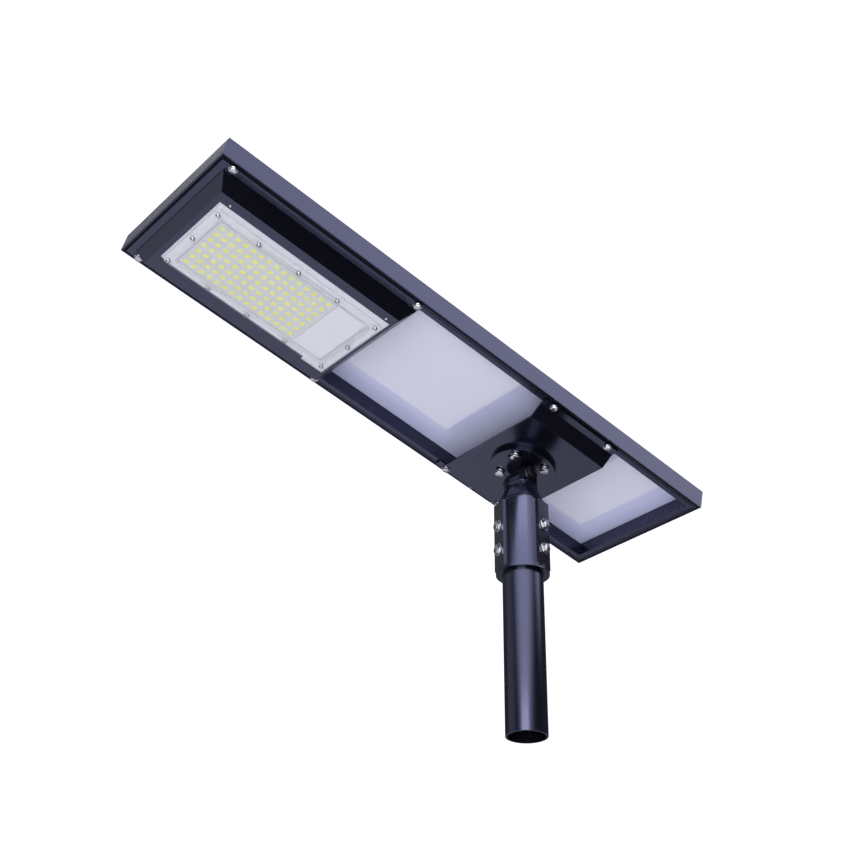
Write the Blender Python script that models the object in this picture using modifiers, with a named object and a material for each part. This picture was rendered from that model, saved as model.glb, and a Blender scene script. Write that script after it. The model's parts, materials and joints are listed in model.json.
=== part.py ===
"""Solar street lamp head on its pole fitter.

The lamp head is one long framed solar module. A pressed tray with the LED engine, battery and
charge controller hangs under its raised end, and a hat-section bracket under the other half
carries a slotted flange, a tilting knuckle and a sleeve that clamps on a 60 mm pole.

Metres, +Z up along the pole, origin at the centre of the pole's lower end.
Head pieces are laid out in the head's own frame: X along the module, Y across it and Z out
through the glass, with zero at the centre of the frame's underside.
"""

import math

import bmesh
import bpy
from mathutils import Matrix, Vector

# ---------------------------------------------------------------- driving sizes
GAP = 0.0003                     # air between pieces that touch

# Module frame
PANEL_LENGTH = 0.914
PANEL_WIDTH = 0.268
FRAME_HEIGHT = 0.031
LIP_WIDTH = 0.017                # width of the rail, seen from below
RAIL_WALL = 0.002
TOP_LIP = 0.0015                 # thickness of the lip over the glass
TOP_LIP_WIDTH = 0.012
SLOT_DEPTH = 0.010               # how far the laminate reaches into the rail
GROOVE_OFFSET = 0.008            # groove in the underside, from the outer face
GROOVE_WIDTH = 0.0015
GROOVE_DEPTH = 0.0012
KEY_LEG_ACROSS = 0.045           # corner key's leg in the short rail, from the frame's corner

# Laminate
GLASS_THICKNESS = 0.0032
CELL_THICKNESS = 0.0010
SHEET_THICKNESS = 0.0005
LAMINATE_PLAY = 0.001            # edge of the laminate to the slot's bottom

# Lamp tray
TRAY_LENGTH = 0.3335             # between the tops of its end walls
TRAY_SIDE_MARGIN = 0.0192        # top of a side wall to the frame's outer face
TRAY_DEPTH = 0.025
TRAY_DRAFT = 0.0145              # how far each wall leans in
TRAY_SHEET = 0.0015
TRAY_END_MARGIN = 0.015          # end wall to the frame's outer end
TRAY_FLANGE = 0.012
TRAY_END_FLANGE = 0.009
TRAY_BOLT_SETBACK = 0.0058       # inner bolt to the tray's open end
TRAY_BOLT_OUTSET = 0.0100        # outer bolt, from the top of the end wall

# LED engine, from the tray's face
HEAT_PLATE = 0.004
BORDER_NEAR = 0.0168             # tray face left beside the window, plain side
BORDER_FAR = 0.0288              # the same on the side with the cover strip
BORDER_OUTER = 0.0082            # the same at the lamp end
WINDOW_STEP = 0.0095             # the far edge steps out by this near the driver
WINDOW_STEP_LENGTH = 0.040
BORDER_INNER = 0.0038            # the same at the inner end
PLATE_LAP = 0.0012               # heat plate past the window, lengthwise
PLATE_SIDE_LAP = 0.004
BOARD_TO_DRIVER = 0.0055
BOARD_SIDE_PLAY = 0.0031         # board to the lens pocket's long sides
BOARD_THICKNESS = 0.0016
DRIVER_LENGTH = 0.050
DRIVER_SIDE_PLAY = 0.0021
DRIVER_THICKNESS = 0.0028
ENGINE_SPACING = 0.0035          # board and driver to the pocket's ends
GASKET_THICKNESS = 0.002
LENS_END_PLAY = 0.0045           # lens to the window's ends
LENS_SIDE_PLAY = 0.0009          # lens to the window's far edge
LENS_RIM = 0.0025                # thickness of the screwed rim
LENS_WALL = 0.0022
LENS_RISE = 0.0042               # crown of the lens below the rim's seat
LENS_RIM_WIDTH = 0.0125
LENS_CORNER = 0.005
LENS_COLUMNS = 5
LENS_SCREW_INSET = 0.0064

# Inside the tray
BATTERY_HEIGHT = 0.033
BATTERY_EDGE = 0.012             # battery to the window's outer end and far edge
BATTERY_END_ROOM = 0.0905        # battery to the window's inner end, for the leads
PACK_SPACING = 0.012             # battery to controller
STRAP_SHEET = 0.0012
STRAP_WIDTH = 0.024
STRAP_FOOT = 0.008
CONTROLLER_SIZE = (0.110, 0.062, 0.023)
CONTROLLER_EDGE = 0.006          # controller to the window's near edge
JUNCTION_SIZE = (0.062, 0.056, 0.017)
JUNCTION_SETBACK = 0.026         # junction box to the top of the tray's inner end wall
LEAD_RADIUS = 0.0025
LEAD_RUN = 0.030                 # a lead's straight-out reach and the scale of its bends
CASE_CORNER = 0.004
CONTROLLER_CORNER = 0.003

# Mounting bracket
BRACKET_LENGTH = 0.148           # along the module
BRACKET_SHEET = 0.003
BRACKET_DEPTH = 0.020
BRACKET_DRAFT = 0.0175
BRACKET_BOLT_SPACING = 0.1115

# Slotted flange and knuckle
FLANGE_RADIUS = 0.050
FLANGE_THICKNESS = 0.007
BOLT_CIRCLE_RADIUS = 0.0355
SLOT_SWEEP = math.radians(12.0)  # the head turns this far either way
FLANGE_BOLTS = 4
FLANGE_BOLT_START = math.radians(30.0)
TONGUE_WIDTH = 0.020
KNUCKLE_RADIUS = 0.013
PIVOT_DROP = 0.0160              # pivot below the flange's lower face
KNUCKLE_PLAY = 0.0006            # tongue to each ear
EAR_THICKNESS = 0.0115

# Sleeve
POLE_RADIUS = 0.030
POLE_WALL = 0.003
SLEEVE_PLAY = 0.0005
SLEEVE_BASE = 0.2415             # lower edge of the sleeve above the origin
SLEEVE_BODY = 0.1110             # height of the straight part
SLEEVE_WALL = 0.006
SHOULDER_HEIGHT = 0.026
NECK_RADIUS = 0.0252
NECK_LENGTH = 0.0095
NECK_CORE = 0.019
NECK_ROOF = 0.007
BASE_RING_HEIGHT = 0.006
BASE_RING_LIP = 0.003
PAD_PROUD = 0.002                # flat of each screw pad beyond the sleeve
PAD_SUNK = 0.002                 # pad's inner face beyond the bore
POLE_SHORTFALL = 0.010           # pole's end below the top of the straight part
PAD_WIDTH = 0.029
PAD_COUNT = 3
PAD_START = math.radians(45.0)
PAD_SCREW_LOW = 0.0335
PAD_SCREW_SPACING = 0.0385

# Attitude
TILT = math.radians(13.7)        # lamp end raised
PANEL_SETBACK = 0.2062           # pivot to the module's centre

# Fasteners: across flats, head height, shank radius
M10 = (0.017, 0.0064, 0.005)
M8 = (0.013, 0.0053, 0.004)
M6 = (0.010, 0.0040, 0.003)
PAN_HEAD_RADIUS = 0.0035
PAN_HEAD_HEIGHT = 0.0022
PAN_SHANK_RADIUS = 0.0017
NUT_HEIGHT = 0.008
BOLT_PROUD = 0.004               # shank beyond the last sheet it passes
HOLE_PLAY = 0.0004               # hole radius over shank radius

# Facets
ROUND = 48
SMALL_ROUND = 16
PAN_FACETS = 12
WELD_DISTANCE = 0.00001

# ---------------------------------------------------------------- worked-out places
HALF_LENGTH = PANEL_LENGTH / 2
HALF_WIDTH = PANEL_WIDTH / 2
SLOT_TOP = FRAME_HEIGHT - TOP_LIP
LAMINATE = GLASS_THICKNESS + CELL_THICKNESS + SHEET_THICKNESS + 4 * GAP
LEDGE = SLOT_TOP - LAMINATE
SIDE_BOLT_Y = HALF_WIDTH - LIP_WIDTH + RAIL_WALL + M6[2] + 2 * HOLE_PLAY

TRAY_WIDTH = PANEL_WIDTH - 2 * TRAY_SIDE_MARGIN
TRAY_X0 = -HALF_LENGTH + TRAY_END_MARGIN
KEY_LEG_ALONG = TRAY_END_MARGIN + TRAY_BOLT_OUTSET - M6[2] - 2 * HOLE_PLAY
TRAY_X1 = TRAY_X0 + TRAY_LENGTH
TRAY_FACE_X0 = TRAY_X0 + TRAY_DRAFT
TRAY_FACE_X1 = TRAY_X1 - TRAY_DRAFT
TRAY_FACE_TOP = -TRAY_DEPTH + TRAY_SHEET
TRAY_FACE_Y = TRAY_WIDTH / 2 - TRAY_DRAFT
WINDOW_X0 = TRAY_FACE_X0 + BORDER_OUTER
WINDOW_X1 = TRAY_FACE_X1 - BORDER_INNER
WINDOW_NEAR = TRAY_FACE_Y - BORDER_NEAR
WINDOW_FAR = TRAY_FACE_Y - BORDER_FAR
PLATE_BOTTOM = TRAY_FACE_TOP + GAP
PLATE_TOP = PLATE_BOTTOM + HEAT_PLATE
INNER_FLOOR = PLATE_TOP + GAP
LENS_X = (WINDOW_X0 + WINDOW_X1) / 2
LENS_LENGTH = WINDOW_X1 - WINDOW_X0 - 2 * LENS_END_PLAY
LENS_WIDTH = 2 * (WINDOW_FAR - LENS_SIDE_PLAY)
LENS_SEAT = PLATE_BOTTOM - GASKET_THICKNESS - 2 * GAP
POCKET_X0 = LENS_X - LENS_LENGTH / 2 + LENS_RIM_WIDTH
POCKET_X1 = LENS_X + LENS_LENGTH / 2 - LENS_RIM_WIDTH
POCKET_WIDTH = LENS_WIDTH - 2 * LENS_RIM_WIDTH
BOARD_LENGTH = POCKET_X1 - POCKET_X0 - 2 * ENGINE_SPACING - BOARD_TO_DRIVER - DRIVER_LENGTH
BOARD_WIDTH = POCKET_WIDTH - 2 * BOARD_SIDE_PLAY
DRIVER_WIDTH = POCKET_WIDTH - 2 * DRIVER_SIDE_PLAY

FLANGE_TOP = -BRACKET_DEPTH - GAP
FLANGE_FACE = FLANGE_TOP - FLANGE_THICKNESS
PIVOT_BELOW_FRAME = PIVOT_DROP - FLANGE_FACE

SLEEVE_RADIUS = POLE_RADIUS + SLEEVE_PLAY + SLEEVE_WALL
BASE_RING_RADIUS = SLEEVE_RADIUS + BASE_RING_LIP
PAD_REACH = SLEEVE_RADIUS + PAD_PROUD
SLEEVE_TOP = SLEEVE_BASE + SLEEVE_BODY
NECK_BASE = SLEEVE_TOP + SHOULDER_HEIGHT
NECK_TOP = NECK_BASE + NECK_LENGTH
PIVOT_Z = NECK_TOP + KNUCKLE_RADIUS + 2 * KNUCKLE_PLAY
POLE_TOP = SLEEVE_TOP - POLE_SHORTFALL
EAR_INNER = TONGUE_WIDTH / 2 + KNUCKLE_PLAY
EAR_OUTER = EAR_INNER + EAR_THICKNESS

PIECES = "solar_street_lamp"
CUTTERS = "cutters"


# ---------------------------------------------------------------- scene helpers
def clear_scene():
    for item in list(bpy.data.objects):
        bpy.data.objects.remove(item, do_unlink=True)


def collection(name):
    found = bpy.data.collections.get(name)
    if found is None:
        found = bpy.data.collections.new(name)
        bpy.context.scene.collection.children.link(found)
    return found


def material(name, colour, roughness, metallic, alpha=1.0):
    made = bpy.data.materials.new(name)
    made.use_nodes = True
    shader = made.node_tree.nodes["Principled BSDF"]
    shader.inputs["Base Color"].default_value = (*colour, 1.0)
    shader.inputs["Roughness"].default_value = roughness
    shader.inputs["Metallic"].default_value = metallic
    shader.inputs["Alpha"].default_value = alpha
    return made


def black_coat(name):
    return material(name, (0.020, 0.020, 0.026), 0.42, 0.0)


def bright_steel(name):
    return material(name, (0.62, 0.62, 0.64), 0.28, 1.0)


def place(name, mesh, finish, parent=None, location=(0, 0, 0), rotation=(0, 0, 0)):
    """Adds a mesh to the lamp as one named piece."""
    piece = bpy.data.objects.new(name, mesh)
    collection(PIECES).objects.link(piece)
    piece.parent = parent
    piece.location = location
    piece.rotation_euler = rotation
    if not mesh.materials:
        mesh.materials.append(finish)
    return piece


def cutter(name, mesh, parent=None, location=(0, 0, 0), rotation=(0, 0, 0)):
    """Adds a mesh that only shapes other pieces."""
    tool = bpy.data.objects.new(name, mesh)
    collection(CUTTERS).objects.link(tool)
    tool.parent = parent
    tool.location = location
    tool.rotation_euler = rotation
    tool.hide_render = True
    tool.display_type = "WIRE"
    return tool


def shape_with(piece, tool, operation):
    step = piece.modifiers.new(tool.name, "BOOLEAN")
    step.operation = operation
    step.solver = "EXACT"
    step.object = tool


def empty(name, parent=None, location=(0, 0, 0), rotation=(0, 0, 0)):
    axis = bpy.data.objects.new(name, None)
    collection(PIECES).objects.link(axis)
    axis.parent = parent
    axis.location = location
    axis.rotation_euler = rotation
    return axis


# ---------------------------------------------------------------- outlines and solids
def circle(radius, centre=(0, 0), facets=SMALL_ROUND):
    turns = [2 * math.pi * step / facets for step in range(facets)]
    return [(centre[0] + radius * math.cos(t), centre[1] + radius * math.sin(t)) for t in turns]


def rectangle(x0, x1, y0, y1):
    return [(x0, y0), (x1, y0), (x1, y1), (x0, y1)]


def rounded(x0, x1, y0, y1, radius, facets=4):
    """A rectangle whose corners are arcs."""
    centres = [(x1 - radius, y1 - radius), (x0 + radius, y1 - radius)]
    centres += [(x0 + radius, y0 + radius), (x1 - radius, y0 + radius)]
    points = []
    for quarter, (cx, cy) in enumerate(centres):
        for step in range(facets + 1):
            turn = math.pi / 2 * (quarter + step / facets)
            points.append((cx + radius * math.cos(turn), cy + radius * math.sin(turn)))
    return points


def arc_slot(radius, half_width, middle, sweep, facets=8):
    """A slot with round ends that follows a circle about the origin."""
    points = []
    for step in range(facets + 1):
        turn = middle - sweep + 2 * sweep * step / facets
        points.append(polar(radius + half_width, turn))
    points += end_cap(radius, half_width, middle + sweep, 1, facets)
    for step in range(facets + 1):
        turn = middle + sweep - 2 * sweep * step / facets
        points.append(polar(radius - half_width, turn))
    points += end_cap(radius, half_width, middle - sweep, -1, facets)
    return points


def polar(radius, turn):
    return (radius * math.cos(turn), radius * math.sin(turn))


def end_cap(radius, half_width, turn, side, facets):
    """The half circle that closes one end of an arc slot."""
    cx, cy = polar(radius, turn)
    points = []
    for step in range(1, facets):
        swing = math.pi * step / facets
        along = math.sin(swing) * half_width * side
        across = math.cos(swing) * half_width * side
        points.append((
            cx + across * math.cos(turn) - along * math.sin(turn),
            cy + across * math.sin(turn) + along * math.cos(turn),
        ))
    return points


def outline_mesh(name, loops, low, high):
    """A flat outline with its holes, as a closed slab between two heights."""
    curve = bpy.data.curves.new(name, "CURVE")
    curve.dimensions = "2D"
    curve.fill_mode = "BOTH"
    curve.extrude = (high - low) / 2
    for loop in loops:
        spline = curve.splines.new("POLY")
        spline.points.add(len(loop) - 1)
        for point, (x, y) in zip(spline.points, loop):
            point.co = (x, y, 0, 1)
        spline.use_cyclic_u = True
    mesh = mesh_from(name, curve)
    mesh.transform(Matrix.Translation((0, 0, (low + high) / 2)))
    return mesh


def mesh_from(name, curve):
    """The closed mesh of a curve, its caps welded to its sides."""
    drawn = bpy.data.objects.new(name + "_curve", curve)
    bpy.context.scene.collection.objects.link(drawn)
    graph = bpy.context.evaluated_depsgraph_get()
    mesh = bpy.data.meshes.new_from_object(drawn.evaluated_get(graph))
    mesh.name = name
    bpy.data.objects.remove(drawn, do_unlink=True)
    bpy.data.curves.remove(curve)
    weld(mesh)
    return mesh


def weld(mesh):
    bm = bmesh.new()
    bm.from_mesh(mesh)
    bmesh.ops.remove_doubles(bm, verts=bm.verts, dist=WELD_DISTANCE)
    bmesh.ops.recalc_face_normals(bm, faces=bm.faces)
    bm.to_mesh(mesh)
    bm.free()


def box_mesh(name, x0, x1, y0, y1, z0, z1):
    bm = bmesh.new()
    bmesh.ops.create_cube(bm, size=1.0)
    bmesh.ops.scale(bm, vec=(x1 - x0, y1 - y0, z1 - z0), verts=bm.verts)
    bmesh.ops.translate(bm, vec=((x0 + x1) / 2, (y0 + y1) / 2, (z0 + z1) / 2), verts=bm.verts)
    return finished(name, bm)


def rod_mesh(name, radius, low, high, facets=SMALL_ROUND, spots=((0, 0),)):
    """Upright cylinders of one size, one at each spot."""
    bm = bmesh.new()
    for x, y in spots:
        middle = Matrix.Translation((x, y, (low + high) / 2))
        bmesh.ops.create_cone(
            bm, cap_ends=True, segments=facets, radius1=radius, radius2=radius,
            depth=high - low, matrix=middle)
    return finished(name, bm)


def finished(name, bm):
    mesh = bpy.data.meshes.new(name)
    bm.to_mesh(mesh)
    bm.free()
    return mesh


def fused_mesh(name, first, others):
    """One closed mesh from several that overlap."""
    base = bpy.data.objects.new(name + "_base", first)
    bpy.context.scene.collection.objects.link(base)
    helpers = []
    for index, (mesh, operation) in enumerate(others):
        helper = bpy.data.objects.new("%s_%d" % (name, index), mesh)
        bpy.context.scene.collection.objects.link(helper)
        shape_with(base, helper, operation)
        helpers.append(helper)
    graph = bpy.context.evaluated_depsgraph_get()
    mesh = bpy.data.meshes.new_from_object(base.evaluated_get(graph))
    mesh.name = name
    for item in [base] + helpers:
        bpy.data.objects.remove(item, do_unlink=True)
    return mesh


def spun_mesh(name, profile, facets):
    """A closed body turned from a profile that starts and ends on the axis."""
    bm = bmesh.new()
    line = [bm.verts.new((radius, 0, height)) for radius, height in profile]
    edges = [bm.edges.new(pair) for pair in zip(line, line[1:])]
    bmesh.ops.spin(
        bm, geom=line + edges, cent=(0, 0, 0), axis=(0, 0, 1),
        angle=2 * math.pi, steps=facets, use_merge=True)
    bmesh.ops.remove_doubles(bm, verts=bm.verts, dist=WELD_DISTANCE)
    bmesh.ops.recalc_face_normals(bm, faces=bm.faces)
    return finished(name, bm)


def hex_mesh(name, across_flats, low, high):
    corner_radius = across_flats / math.sqrt(3)
    return rod_mesh(name, corner_radius, low, high, facets=6)


def bolt_mesh(name, size, length):
    """A hexagon bolt, head below zero and shank above."""
    across_flats, head, shank = size
    body = hex_mesh(name, across_flats, -head, 0)
    stem = rod_mesh(name + "_stem", shank, -head / 2, length)
    return fused_mesh(name, body, [(stem, "UNION")])


def pan_screw_mesh(name, length):
    """A turned screw with a low rounded head below zero and its shank above."""
    dome = [(PAN_HEAD_RADIUS * math.sin(t), -PAN_HEAD_HEIGHT * math.cos(t))
            for t in (math.radians(a) for a in (90, 60, 30, 0))]
    profile = [(0, length), (PAN_SHANK_RADIUS, length), (PAN_SHANK_RADIUS, 0)] + dome
    return spun_mesh(name, profile, PAN_FACETS)


# ---------------------------------------------------------------- module frame and laminate
def rail_profile():
    """Outer outline and hollow of a rail: across from its inner face, then up."""
    groove_in = LIP_WIDTH - GROOVE_OFFSET - GROOVE_WIDTH / 2
    groove_out = groove_in + GROOVE_WIDTH
    lip_edge = LIP_WIDTH - TOP_LIP_WIDTH
    outer = [(0, 0), (groove_in, 0), (groove_in, GROOVE_DEPTH), (groove_out, GROOVE_DEPTH)]
    outer += [(groove_out, 0), (LIP_WIDTH, 0), (LIP_WIDTH, FRAME_HEIGHT)]
    outer += [(lip_edge, FRAME_HEIGHT), (lip_edge, SLOT_TOP), (SLOT_DEPTH, SLOT_TOP)]
    outer += [(SLOT_DEPTH, LEDGE), (0, LEDGE)]
    hollow = rectangle(RAIL_WALL, LIP_WIDTH - RAIL_WALL, *channel_heights())
    return [outer, hollow]


def channel_heights():
    """Floor and roof of the hollow in a rail."""
    return GROOVE_DEPTH + RAIL_WALL, LEDGE - RAIL_WALL


def rail_mesh(name, half_run, half_span):
    """A rail along X at +Y, its ends mitred. The frame is 2 half_run by 2 half_span."""
    mesh = outline_mesh(name, rail_profile(), -half_run, half_run)
    upright = Matrix(((0, 0, 1, 0), (1, 0, 0, half_span - LIP_WIDTH), (0, 1, 0, 0), (0, 0, 0, 1)))
    mesh.transform(upright)
    for vertex in mesh.vertices:
        inset = half_span - vertex.co.y
        reach = half_run - inset - GAP / 2
        vertex.co.x = math.copysign(reach, vertex.co.x)
    return mesh


def key_mesh(name, leg_x, leg_y):
    """An L-shaped corner key about the frame's outer corner, legs along -X and -Y."""
    low, high = channel_heights()
    near = RAIL_WALL + GAP
    far = LIP_WIDTH - RAIL_WALL - GAP
    outline = [(-near, -near), (-leg_x, -near), (-leg_x, -far)]
    outline += [(-far, -far), (-far, -leg_y), (-near, -leg_y)]
    return outline_mesh(name, [outline], low + GAP, high - GAP)


def frame(head):
    sides = {
        "frame_rail_near": (HALF_LENGTH, HALF_WIDTH, math.pi),
        "frame_rail_far": (HALF_LENGTH, HALF_WIDTH, 0),
        "frame_rail_lamp_end": (HALF_WIDTH, HALF_LENGTH, math.pi / 2),
        "frame_rail_tail_end": (HALF_WIDTH, HALF_LENGTH, -math.pi / 2),
    }
    for name, (half_run, half_span, heading) in sides.items():
        mesh = rail_mesh(name, half_run, half_span)
        place(name, mesh, black_coat(name), head, rotation=(0, 0, heading))
    legs = [KEY_LEG_ALONG, KEY_LEG_ACROSS]
    for index in range(4):
        heading = index * math.pi / 2
        along = math.copysign(HALF_LENGTH, math.cos(heading + math.pi / 4))
        across = math.copysign(HALF_WIDTH, math.sin(heading + math.pi / 4))
        name = "corner_key_%d" % (index + 1)
        finish = material(name, (0.55, 0.56, 0.58), 0.45, 1.0)
        mesh = key_mesh(name, *legs)
        place(name, mesh, finish, head, (along, across, 0), (0, 0, heading))
        legs.reverse()


def laminate(head):
    half_x = HALF_LENGTH - LIP_WIDTH + SLOT_DEPTH - LAMINATE_PLAY
    half_y = HALF_WIDTH - LIP_WIDTH + SLOT_DEPTH - LAMINATE_PLAY
    layers = [
        ("back_sheet", SHEET_THICKNESS, (0.78, 0.78, 0.86), 0.25, 1.0),
        ("solar_cells", CELL_THICKNESS, (0.012, 0.018, 0.060), 0.30, 1.0),
        ("front_glass", GLASS_THICKNESS, (0.85, 0.92, 0.92), 0.05, 0.35),
    ]
    low = LEDGE + GAP
    for name, thickness, colour, roughness, alpha in layers:
        mesh = box_mesh(name, -half_x, half_x, -half_y, half_y, low, low + thickness)
        place(name, mesh, material(name, colour, roughness, 0.0, alpha), head)
        low += thickness + GAP


# ---------------------------------------------------------------- lamp tray and LED engine
def tray_shell(name):
    """The tray's outer surface: a face, four leaning walls and three flanges."""
    wall_y = TRAY_WIDTH / 2
    flange_y = wall_y + TRAY_FLANGE
    seat = -GAP - TRAY_SHEET
    bm = bmesh.new()
    corners = rectangle(TRAY_FACE_X0, TRAY_FACE_X1, -TRAY_FACE_Y, TRAY_FACE_Y)
    face = bm.faces.new([bm.verts.new((x, y, -TRAY_DEPTH)) for x, y in corners])
    walls = extrude_up(bm, face.edges[:], seat)
    for vertex in walls["verts"]:
        vertex.co.x = TRAY_X0 if vertex.co.x < LENS_X else TRAY_X1
        vertex.co.y = math.copysign(wall_y, vertex.co.y)
    rim = [edge for edge in walls["edges"] if all(v in walls["verts"] for v in edge.verts)]
    flanged = [edge for edge in rim if any(v.co.x < LENS_X for v in edge.verts)]
    flange = extrude_up(bm, flanged, seat)
    for vertex in flange["verts"]:
        vertex.co.y = math.copysign(flange_y, vertex.co.y)
        if vertex.co.x < LENS_X:
            vertex.co.x = TRAY_X0 - TRAY_END_FLANGE
    bmesh.ops.recalc_face_normals(bm, faces=bm.faces)
    if face.normal.z > 0:
        bmesh.ops.reverse_faces(bm, faces=bm.faces)
    return finished(name, bm)


def extrude_up(bm, edges, height):
    """Extrudes an open run of edges and sets the new vertices' height."""
    made = bmesh.ops.extrude_edge_only(bm, edges=edges)["geom"]
    verts = [item for item in made if isinstance(item, bmesh.types.BMVert)]
    new_edges = [item for item in made if isinstance(item, bmesh.types.BMEdge)]
    for vertex in verts:
        vertex.co.z = height
    return {"verts": verts, "edges": new_edges}


def tray_bolt_spots():
    along = (TRAY_X0 + TRAY_BOLT_OUTSET, TRAY_X1 - TRAY_BOLT_SETBACK)
    return [(x, side * SIDE_BOLT_Y) for x in along for side in (-1, 1)]


def window_outline():
    step_x = WINDOW_X1 - WINDOW_STEP_LENGTH
    far_step = WINDOW_FAR + WINDOW_STEP
    return [
        (WINDOW_X0, -WINDOW_NEAR), (WINDOW_X1, -WINDOW_NEAR), (WINDOW_X1, far_step),
        (step_x, far_step), (step_x, WINDOW_FAR), (WINDOW_X0, WINDOW_FAR),
    ]


def lamp_tray(head):
    name = "lamp_tray"
    tray = place(name, tray_shell(name), black_coat(name), head)
    wall = tray.modifiers.new("sheet", "SOLIDIFY")
    wall.solidify_mode = "NON_MANIFOLD"
    wall.nonmanifold_thickness_mode = "CONSTRAINTS"
    wall.nonmanifold_merge_threshold = WELD_DISTANCE
    wall.thickness = TRAY_SHEET
    wall.offset = -1.0
    half_y = TRAY_WIDTH / 2 - TRAY_SHEET
    low = -2 * TRAY_SHEET
    upstand = box_mesh(
        "tray_upstand", TRAY_X1 - TRAY_SHEET, TRAY_X1, -half_y, half_y, low, LEDGE - 2 * GAP)
    shape_with(tray, cutter("tray_upstand", upstand, head), "UNION")
    below, above = -TRAY_DEPTH - TRAY_SHEET, TRAY_FACE_TOP + TRAY_SHEET
    window = outline_mesh("tray_window", [window_outline()], below, above)
    shape_with(tray, cutter("tray_window", window, head), "DIFFERENCE")
    spots = tray_bolt_spots()
    holes = rod_mesh("tray_holes", M6[2] + HOLE_PLAY, -4 * TRAY_SHEET, TRAY_SHEET, spots=spots)
    shape_with(tray, cutter("tray_holes", holes, head), "DIFFERENCE")


def screw_spots():
    """Lens screws: five columns down each long side and one in the middle of each end."""
    inset_x = LENS_LENGTH / 2 - LENS_SCREW_INSET
    inset_y = LENS_WIDTH / 2 - LENS_SCREW_INSET
    spots = []
    for column in range(LENS_COLUMNS):
        x = LENS_X - inset_x + 2 * inset_x * column / (LENS_COLUMNS - 1)
        spots += [(x, -inset_y), (x, inset_y)]
    return spots + [(LENS_X - inset_x, 0), (LENS_X + inset_x, 0)]


def lead_hole():
    """Where the lamp lead passes down through the heat plate, into the driver."""
    return (POCKET_X1 - ENGINE_SPACING - DRIVER_LENGTH / 2, -DRIVER_WIDTH / 4)


def led_engine(head):
    holes = [circle(PAN_SHANK_RADIUS + HOLE_PLAY, spot, 8) for spot in screw_spots()]
    plate = rectangle(
        WINDOW_X0 - PLATE_LAP, WINDOW_X1 + PLATE_LAP,
        -WINDOW_NEAR - PLATE_SIDE_LAP, WINDOW_NEAR + PLATE_SIDE_LAP)
    gland = circle(LEAD_RADIUS + HOLE_PLAY, lead_hole())
    loops = [plate, gland] + holes
    mesh = outline_mesh("heat_plate", loops, PLATE_BOTTOM, PLATE_TOP)
    place("heat_plate", mesh, material("heat_plate", (0.74, 0.74, 0.78), 0.35, 0.6), head)

    top = PLATE_BOTTOM - GAP
    board_x0 = POCKET_X0 + ENGINE_SPACING
    mesh = box_mesh(
        "led_board", board_x0, board_x0 + BOARD_LENGTH, -BOARD_WIDTH / 2, BOARD_WIDTH / 2,
        top - BOARD_THICKNESS, top)
    place("led_board", mesh, material("led_board", (0.80, 0.80, 0.76), 0.5, 0.0), head)

    driver_x1 = POCKET_X1 - ENGINE_SPACING
    mesh = box_mesh(
        "driver_cover", driver_x1 - DRIVER_LENGTH, driver_x1, -DRIVER_WIDTH / 2,
        DRIVER_WIDTH / 2, top - DRIVER_THICKNESS, top)
    place("driver_cover", mesh, material("driver_cover", (0.66, 0.66, 0.68), 0.7, 0.0), head)

    rim = lens_outline(0, LENS_CORNER)
    pocket = lens_outline(LENS_RIM_WIDTH, LENS_CORNER / 2)
    mesh = outline_mesh("lens_gasket", [rim, pocket] + holes, LENS_SEAT + GAP, top)
    place("lens_gasket", mesh, material("lens_gasket", (0.45, 0.45, 0.45), 0.8, 0.0), head)

    place("lens_cover", lens_mesh(rim, pocket, holes), clear_plastic(), head)
    screw_length = -LENS_SEAT + PLATE_TOP + LENS_RIM
    for index, (x, y) in enumerate(screw_spots()):
        name = "lens_screw_%02d" % (index + 1)
        mesh = pan_screw_mesh(name, screw_length)
        place(name, mesh, bright_steel(name), head, (x, y, LENS_SEAT - LENS_RIM - GAP))


def clear_plastic():
    return material("lens_cover", (0.90, 0.92, 0.95), 0.08, 0.0, 0.35)


def lens_outline(inset, radius):
    half_x = LENS_LENGTH / 2 - inset
    half_y = LENS_WIDTH / 2 - inset
    return rounded(LENS_X - half_x, LENS_X + half_x, -half_y, half_y, radius)


def lens_mesh(rim, pocket, holes):
    """The clear cover: a screwed rim and a shallow crown hollowed over the board."""
    base = outline_mesh("lens_cover", [rim] + holes, LENS_SEAT - LENS_RIM, LENS_SEAT)
    crown_outline = lens_outline(LENS_RIM_WIDTH - LENS_WALL, LENS_CORNER / 2)
    crown_bottom = LENS_SEAT - LENS_RISE
    crown = outline_mesh("lens_crown", [crown_outline], crown_bottom, LENS_SEAT - LENS_RIM / 2)
    hollow = outline_mesh("lens_hollow", [pocket], crown_bottom + LENS_WALL, LENS_SEAT + LENS_WALL)
    return fused_mesh("lens_cover", base, [(crown, "UNION"), (hollow, "DIFFERENCE")])


# ---------------------------------------------------------------- inside the tray
def battery_place():
    """The battery's two corners and its top. It fills the room that the controller leaves."""
    x0 = WINDOW_X0 + BATTERY_EDGE
    x1 = WINDOW_X1 - BATTERY_END_ROOM
    y0 = controller_place()[3] + PACK_SPACING
    return x0, y0, x1, WINDOW_NEAR - BATTERY_EDGE, INNER_FLOOR + BATTERY_HEIGHT


def controller_place():
    length, width, height = CONTROLLER_SIZE
    x0 = WINDOW_X0 + BATTERY_EDGE
    y0 = -WINDOW_NEAR + CONTROLLER_EDGE
    return x0, y0, x0 + length, y0 + width, INNER_FLOOR + height


def junction_place():
    length, width, height = JUNCTION_SIZE
    x1 = TRAY_X1 - JUNCTION_SETBACK
    y0 = -WINDOW_NEAR + BATTERY_EDGE
    return x1 - length, y0, x1, y0 + width, LEDGE - height


def rounded_box(name, x0, y0, x1, y1, low, high, radius, finish, head):
    mesh = outline_mesh(name, [rounded(x0, x1, y0, y1, radius)], low, high)
    place(name, mesh, finish, head)


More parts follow.
